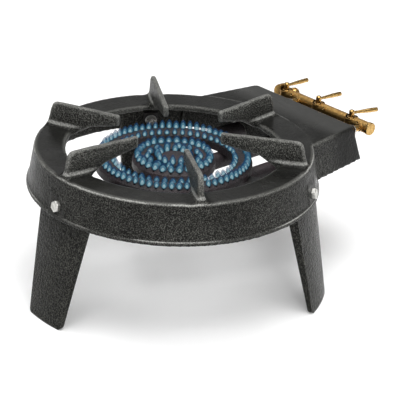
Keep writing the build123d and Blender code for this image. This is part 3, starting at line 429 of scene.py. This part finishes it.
# Scales are cells in a metre; depths, edges and the reach of crevices are metres
metalLooks = {
    "zinc_steel": {
        "bright": (0.72, 0.71, 0.68), "dull": (0.50, 0.50, 0.47), "creviceShade": (0.10, 0.10, 0.10),
        "patchScale": 240.0, "grainScale": 1800.0, "grainDepth": 0.00008, "crevices": 0.002,
        "edge": 0.0004, "smooth": 0.30, "rough": 0.48,
    },
    "cast_brass": {
        "bright": (0.58, 0.36, 0.12), "dull": (0.34, 0.19, 0.06), "creviceShade": (0.05, 0.024, 0.010),
        "patchScale": 150.0, "grainScale": 900.0, "grainDepth": 0.00025, "crevices": 0.006,
        "edge": 0.0006, "smooth": 0.28, "rough": 0.46,
    },
    "turned_brass": {
        "bright": (0.66, 0.43, 0.16), "dull": (0.42, 0.25, 0.085), "creviceShade": (0.05, 0.026, 0.011),
        "patchScale": 220.0, "grainScale": 1600.0, "grainDepth": 0.00008, "crevices": 0.004,
        "edge": 0.0004, "smooth": 0.20, "rough": 0.36,
    },
}

# A pair is the span of shelter, noise or edge over which a finish changes
metalMix = {
    "patchDetail": 4.0,
    "patchRoughness": 0.6,
    "shelter": (0.35, 0.85),
    "dull": (0.38, 0.64),
    "rough": (0.35, 0.65),
    "edges": (0.03, 0.3),
    "edgeShine": 0.6,
}


def makeMetal(name, look):
    material, tree, shader = newMaterial(name)
    place = addNode(tree, "ShaderNodeTexCoord").outputs["Object"]
    rounded, edges = edgeShare(tree, look["edge"])
    patches = noise(tree, place, look["patchScale"], metalMix["patchDetail"], metalMix["patchRoughness"])
    grain = noise(tree, place, look["grainScale"])
    # Darker in sheltered crevices: painted shade, with some tarnish on the brass
    shelter = addNode(tree, "ShaderNodeAmbientOcclusion", {"Distance": look["crevices"]},
                      samples=rays["shelter"])
    hidden = spread(tree, shelter.outputs["AO"], *metalMix["shelter"], 1.0, 0.0)
    # Edges rubbed bright and brightened further as a painted highlight
    rubbedAndLit = spread(tree, edges, *metalMix["edges"], 0.0, metalMix["edgeShine"])
    base = blendColours(tree, spread(tree, patches, *metalMix["dull"]), look["bright"], look["dull"])
    base = blendColours(tree, hidden, base, look["creviceShade"])
    base = blendColours(tree, rubbedAndLit, base, look["bright"])
    tree.links.new(base, shader.inputs["Base Color"])
    shader.inputs["Metallic"].default_value = 1.0
    roughness = spread(tree, patches, *metalMix["rough"], look["smooth"], look["rough"])
    tree.links.new(roughness, shader.inputs["Roughness"])
    skin = addNode(tree, "ShaderNodeBump", {
        "Height": grain, "Distance": look["grainDepth"], "Normal": rounded,
    }).outputs["Normal"]
    tree.links.new(skin, shader.inputs["Normal"])
    return material


# Flames

# From the inside out: size against the whole flame, cover, and colours from root to tip
flameLayers = {
    "heart": {
        "share": 0.48, "cover": 1.0,
        "root": (0.05, 0.27, 0.33), "middle": (0.54, 0.80, 0.82), "tip": (0.90, 0.98, 1.0),
    },
    "core": {
        "share": 0.74, "cover": 0.42,
        "root": (0.01, 0.09, 0.14), "middle": (0.10, 0.30, 0.40), "tip": (0.26, 0.50, 0.62),
    },
    "mantle": {
        "share": 1.0, "cover": 0.42,
        "root": (0.0, 0.01, 0.03), "middle": (0.008, 0.055, 0.11), "tip": (0.02, 0.06, 0.15),
    },
}

# Heights where the glow starts and is full, the height that a row sinks to, and the share of it left then
flameRoot = {"hidden": 0.1694, "shown": 0.1712, "sunk": 0.1655, "left": 0.02}

# Each row's tap and count, then ring radius, lean outwards (inwards if negative), length and width
flameRows = {
    "outer_ring_outer_flames": {
        "joint": "outer_tap_turn", "count": 64,
        "ring": 0.0968, "lean": -0.0015, "tall": 0.0130, "wide": 0.0086,
    },
    "outer_ring_inner_flames": {
        "joint": "outer_tap_turn", "count": 48,
        "ring": 0.0812, "lean": -0.0025, "tall": 0.0085, "wide": 0.0074,
    },
    "middle_ring_outer_flames": {
        "joint": "middle_tap_turn", "count": 28,
        "ring": 0.0485, "lean": -0.0025, "tall": 0.0130, "wide": 0.0104,
    },
    "middle_ring_inner_flames": {
        "joint": "middle_tap_turn", "count": 14,
        "ring": 0.0358, "lean": -0.0030, "tall": 0.0100, "wide": 0.0090,
    },
    "centre_flames": {
        "joint": "centre_tap_turn", "count": 12,
        "ring": 0.0192, "lean": 0.0030, "tall": 0.0130, "wide": 0.0090,
    },
}

# Shares of a flame's length, lean or half width, but for the height of the ports in metres
flameShape = {
    "portHeight": 0.1703,
    "rings": 8,
    "sides": 8,
    "unevenness": 0.16,
    "lowHandle": 0.25,
    "highHandle": 0.7,
    "lowLean": 0.75,
    "profile": ((0.0, 0.62), (0.14, 0.94), (0.40, 1.0), (0.72, 0.74), (1.0, 0.06)),
    "rootColourTo": 0.35,
    "tipColourFrom": 0.55,
}


def makeFlameGlow(name, layer):
    material, tree, shader = newMaterial(name)
    along = addNode(tree, "ShaderNodeAttribute", attribute_name="along").outputs["Fac"]
    leavingRoot = spread(tree, along, 0.0, flameShape["rootColourTo"])
    colour = blendColours(tree, leavingRoot, layer["root"], layer["middle"])
    colour = blendColours(tree, spread(tree, along, flameShape["tipColourFrom"], 1.0), colour, layer["tip"])
    tree.links.new(colour, shader.inputs["Emission Color"])
    shader.inputs["Emission Strength"].default_value = 1.0
    shader.inputs["Base Color"].default_value = (0.0, 0.0, 0.0, 1.0)
    shader.inputs["Specular IOR Level"].default_value = 0.0
    shader.inputs["Roughness"].default_value = 1.0

    # The gas glows only above its port
    place = addNode(tree, "ShaderNodeTexCoord").outputs["Object"]
    height = addNode(tree, "ShaderNodeSeparateXYZ", {"Vector": place}).outputs["Z"]
    shown = spread(tree, height, flameRoot["hidden"], flameRoot["shown"])
    tree.links.new(times(tree, shown, layer["cover"]), shader.inputs["Alpha"])
    return material


def makeFlameTree():
    tree = bpy.data.node_groups.new("flameRow", "GeometryNodeTree")
    sockets = {
        "Flames": "NodeSocketInt", "Ring Radius": "NodeSocketFloat", "Port Height": "NodeSocketFloat",
        "Lean": "NodeSocketFloat", "Length": "NodeSocketFloat", "Width": "NodeSocketFloat",
        "Unevenness": "NodeSocketFloat", "Seed": "NodeSocketInt", "Material": "NodeSocketMaterial",
    }
    ids = {}
    for label, kind in sockets.items():
        ids[label] = tree.interface.new_socket(name=label, in_out="INPUT", socket_type=kind).identifier
    tree.interface.new_socket(name="Geometry", in_out="OUTPUT", socket_type="NodeSocketGeometry")
    given = tree.nodes.new("NodeGroupInput").outputs

    # One flame: a leaning spine with a teardrop round it
    highTurn = times(tree, given["Length"], flameShape["highHandle"])
    lowTurn = times(tree, given["Length"], flameShape["lowHandle"])
    lowLean = times(tree, given["Lean"], flameShape["lowLean"])
    lowHandle = addNode(tree, "ShaderNodeCombineXYZ", {"X": lowLean, "Z": lowTurn}).outputs[0]
    highHandle = addNode(tree, "ShaderNodeCombineXYZ", {"X": given["Lean"], "Z": highTurn}).outputs[0]
    tip = addNode(tree, "ShaderNodeCombineXYZ", {"X": given["Lean"], "Z": given["Length"]}).outputs[0]
    spine = addNode(tree, "GeometryNodeCurvePrimitiveBezierSegment", {
        "Start": (0.0, 0.0, 0.0), "Start Handle": lowHandle, "End Handle": highHandle, "End": tip,
    }).outputs["Curve"]
    spine = addNode(tree, "GeometryNodeResampleCurve", {
        "Curve": spine, "Count": flameShape["rings"],
    }).outputs["Curve"]
    along = addNode(tree, "GeometryNodeSplineParameter").outputs["Factor"]
    spine = addNode(tree, "GeometryNodeStoreNamedAttribute", {
        "Geometry": spine, "Name": "along", "Value": along,
    }, data_type="FLOAT", domain="POINT").outputs["Geometry"]
    swelling = tree.nodes.new("ShaderNodeFloatCurve")
    curve = swelling.mapping.curves[0]
    first, *middle, last = flameShape["profile"]
    curve.points[0].location = first
    curve.points[1].location = last
    for spot in middle:
        curve.points.new(*spot)
    swelling.mapping.update()
    tree.links.new(along, swelling.inputs["Value"])
    girth = times(tree, swelling.outputs["Value"], given["Width"], 0.5)
    circle = addNode(tree, "GeometryNodeCurvePrimitiveCircle", {
        "Resolution": flameShape["sides"], "Radius": 1.0,
    }).outputs["Curve"]
    flame = addNode(tree, "GeometryNodeCurveToMesh", {
        "Curve": spine, "Profile Curve": circle, "Scale": girth, "Fill Caps": True,
    }).outputs["Mesh"]
    flame = addNode(tree, "GeometryNodeSetShadeSmooth", {"Geometry": flame}).outputs["Geometry"]

    # Ports stand half a step round from +X
    step = calculate(tree, "DIVIDE", math.tau, given["Flames"])
    place = calculate(tree, "ADD", addNode(tree, "GeometryNodeInputIndex").outputs["Index"], 0.5)
    angle = times(tree, place, step)
    spots = addNode(tree, "ShaderNodeCombineXYZ", {
        "X": times(tree, calculate(tree, "COSINE", angle), given["Ring Radius"]),
        "Y": times(tree, calculate(tree, "SINE", angle), given["Ring Radius"]),
        "Z": given["Port Height"],
    }).outputs[0]
    ports = addNode(tree, "GeometryNodePoints", {
        "Count": given["Flames"], "Position": spots,
    }).outputs["Points"]
    facing = addNode(tree, "FunctionNodeEulerToRotation", {
        "Euler": addNode(tree, "ShaderNodeCombineXYZ", {"Z": angle}).outputs[0],
    }).outputs["Rotation"]

    # One draw for a flame's width and one for its length
    low = calculate(tree, "SUBTRACT", 1.0, given["Unevenness"])
    high = calculate(tree, "ADD", 1.0, given["Unevenness"])
    sizes = []
    for offset in (0, 1):
        draw = addNode(tree, "FunctionNodeRandomValue", data_type="FLOAT")
        tree.links.new(low, draw.inputs[2])
        tree.links.new(high, draw.inputs[3])
        tree.links.new(calculate(tree, "ADD", given["Seed"], offset), draw.inputs["Seed"])
        sizes.append(draw.outputs[1])
    girthDraw, lengthDraw = sizes
    size = addNode(tree, "ShaderNodeCombineXYZ", {
        "X": girthDraw, "Y": girthDraw, "Z": lengthDraw,
    }).outputs[0]
    row = addNode(tree, "GeometryNodeInstanceOnPoints", {
        "Points": ports, "Instance": flame, "Rotation": facing, "Scale": size,
    }).outputs["Instances"]
    row = addNode(tree, "GeometryNodeRealizeInstances", {"Geometry": row}).outputs["Geometry"]
    row = addNode(tree, "GeometryNodeSetMaterial", {
        "Geometry": row, "Material": given["Material"],
    }).outputs["Geometry"]
    tree.links.new(row, tree.nodes.new("NodeGroupOutput").inputs["Geometry"])
    return tree, ids


def growPiece(name, tree, ids, values):
    # Runs a tree once and keeps its result as a plain mesh
    piece = bpy.data.objects.new(name, bpy.data.meshes.new(name + "Seed"))
    bpy.context.scene.collection.objects.link(piece)
    modifier = piece.modifiers.new("grow", "NODES")
    modifier.node_group = tree
    for label, value in values.items():
        modifier[ids[label]] = value
    grown = piece.evaluated_get(bpy.context.evaluated_depsgraph_get())
    mesh = bpy.data.meshes.new_from_object(grown)
    piece.modifiers.remove(modifier)
    mesh.name = name
    piece.data = mesh
    return piece


def lightBurners():
    tree, ids = makeFlameTree()
    glows = {layer: makeFlameGlow("flame_" + layer, look) for layer, look in flameLayers.items()}
    for seed, (name, row) in enumerate(flameRows.items()):
        for layer, look in flameLayers.items():
            share = look["share"]
            piece = growPiece(f"{name}_{layer}", tree, ids, {
                "Flames": row["count"], "Ring Radius": row["ring"], "Port Height": flameShape["portHeight"],
                "Lean": row["lean"] * share, "Length": row["tall"] * share, "Width": row["wide"] * share,
                "Unevenness": flameShape["unevenness"], "Seed": seed * 10, "Material": glows[layer],
            })
            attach(piece, "stove")
            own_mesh(piece)
    print("flames lit:", sum(row["count"] for row in flameRows.values()))


# The body as it leaves the sand: the solid's mesh with soft roots under its prongs

# Metres; a root reaches from its prong's middle plane to "side", in the rings between the radii
casting = {
    "weld": 1e-6,
    "cell": 0.0020,
    "prongs": 6,
    "radii": (0.124, 0.130, 0.176, 0.184),
    "side": (0.012, 0.022),
    "levels": (0.170, 0.176, 0.194, 0.208),
    "rootRounds": 26,
    "skinRounds": 2,
    "strength": 0.5,
}


def ramp(value, low, high):
    return min(1.0, max(0.0, (value - low) / (high - low)))


def band(value, edges):
    first, second, third, last = edges
    return ramp(value, first, second) * (1.0 - ramp(value, third, last))


def rootShare(spot):
    # How far a point belongs to the root of its nearest prong
    step = math.tau / casting["prongs"]
    angle = math.atan2(spot.y, spot.x)
    angle -= round(angle / step) * step
    radius = math.hypot(spot.x, spot.y)
    aside = 1.0 - ramp(abs(radius * math.sin(angle)), *casting["side"])
    return aside * band(radius, casting["radii"]) * band(spot.z, casting["levels"])


def bakeModifiers(piece, name):
    seen = piece.evaluated_get(bpy.context.evaluated_depsgraph_get())
    mesh = bpy.data.meshes.new_from_object(seen)
    mesh.name = name
    piece.modifiers.clear()
    piece.data = mesh


def castBody():
    source = nodes["stove_body"]
    mesh = source.data.copy()
    mesh.transform(source.matrix_world)

    # The solid's triangles come loose, so they are joined before they are laid on a grid
    welder = bmesh.new()
    welder.from_mesh(mesh)
    bmesh.ops.remove_doubles(welder, verts=welder.verts, dist=casting["weld"])
    welder.to_mesh(mesh)
    welder.free()
    piece = bpy.data.objects.new("cast_body", mesh)
    bpy.context.scene.collection.objects.link(piece)
    grid = piece.modifiers.new("grid", "REMESH")
    grid.mode = "VOXEL"
    grid.voxel_size = casting["cell"]
    bakeModifiers(piece, "castGrid")

    # Softest where the prongs rise from the ring
    roots = piece.vertex_groups.new(name="roots")
    for vertex in piece.data.vertices:
        share = rootShare(vertex.co)
        if share > 0.0:
            roots.add([vertex.index], share, "REPLACE")
    softRoots = piece.modifiers.new("softRoots", "SMOOTH")
    softRoots.factor = casting["strength"]
    softRoots.iterations = casting["rootRounds"]
    softRoots.vertex_group = "roots"
    softSkin = piece.modifiers.new("softSkin", "SMOOTH")
    softSkin.factor = casting["strength"]
    softSkin.iterations = casting["skinRounds"]
    bakeModifiers(piece, "castBody")
    piece.vertex_groups.clear()

    piece.data.shade_smooth()
    piece.data.materials.clear()
    piece.data.materials.append(source.data.materials[0])
    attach(piece, "stove")
    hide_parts("stove_body")
    print("body cast:", len(piece.data.polygons), "faces")


def dressNodes():
    finishes = {slot: makeIron(slot, look) for slot, look in ironLooks.items()}
    finishes.update({slot: makeMetal(slot, look) for slot, look in metalLooks.items()})
    for part in frame["record"]["subparts"]:
        slots = nodes[part["node"]].data.materials
        slots.clear()
        slots.append(finishes[part["material_slot"]])
    print("finishes on:", len(finishes))


makeCamera(photoView)
makeSky()
makeFloor()
for boxName, boxSettings in softboxes.items():
    makeSoftbox(boxName, boxSettings)
bpy.context.scene.view_settings.view_transform = "Standard"
print("studio ready")

dressNodes()
castBody()
lightBurners()
